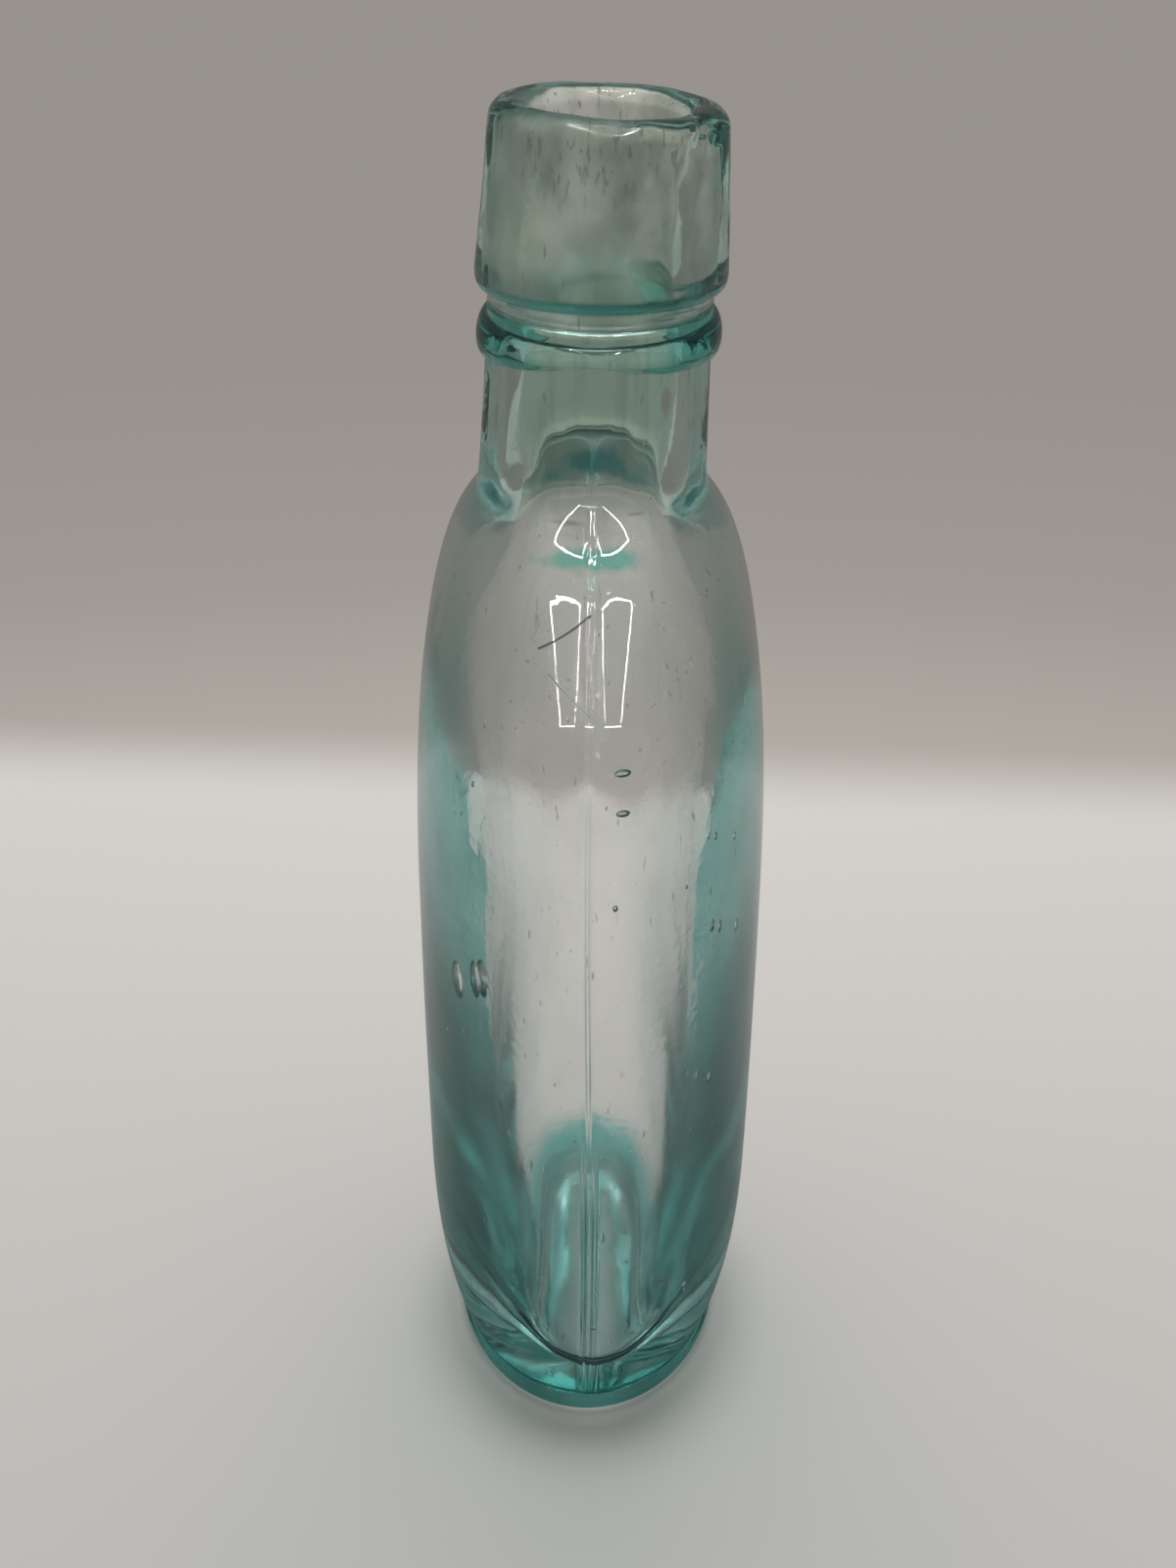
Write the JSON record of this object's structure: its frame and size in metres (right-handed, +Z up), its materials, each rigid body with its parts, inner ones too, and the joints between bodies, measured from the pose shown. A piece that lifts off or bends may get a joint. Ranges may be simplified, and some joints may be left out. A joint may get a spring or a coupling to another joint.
{
  "type": "spirit flask",
  "caption": "Flat oval glass spirit flask with tapering sides, rounded shoulders, a short neck, a string ring and a tapered collar round its open mouth.",
  "frame": {"origin": "on the floor under the middle of the base", "axes": "+Z up the flask, X across its broad width, Y through its thickness; the mould seams run up the narrow sides at -X and +X"},
  "size_m": [0.0824, 0.0434, 0.1655],
  "materials": {
    "aqua_glass": "clear aqua glass, slightly wavy and lightly worn"
  },
  "bodies": {
    "root": {"flask_body": "aqua_glass", "string_ring": "aqua_glass", "collar": "aqua_glass"}
  },
  "joints": []
}
